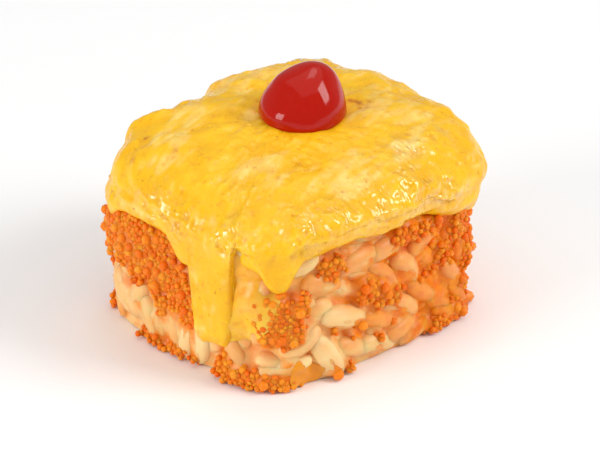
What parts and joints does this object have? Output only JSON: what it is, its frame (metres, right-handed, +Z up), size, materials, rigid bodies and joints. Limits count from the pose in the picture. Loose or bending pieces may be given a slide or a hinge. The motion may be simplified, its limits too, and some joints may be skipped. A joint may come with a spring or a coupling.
{
  "type": "baked sushi roll piece",
  "caption": "Upright slice of baked sushi roll: squarish rice and roe block under a thick yellow sauce cap with drips, topped by a dot of red sauce.",
  "frame": {"origin": "on the floor, under the middle of the rice block's cut end, which it stands on", "axes": "+Z up; +X along the longer side of the block; the long drip hangs on the -X side, near the corner between -X and -Y"},
  "size_m": [0.0458, 0.0411, 0.0353],
  "materials": {
    "rice_block": "moist cooked rice, cream to peach, with orange roe",
    "sauce_cap": "baked yellow cheese sauce, satin with glossy patches",
    "sauce_dot": "thick red chilli sauce, glossy"
  },
  "bodies": {
    "root": {"rice_block": "rice_block", "sauce_cap": "sauce_cap", "sauce_dot": "sauce_dot"}
  },
  "joints": []
}
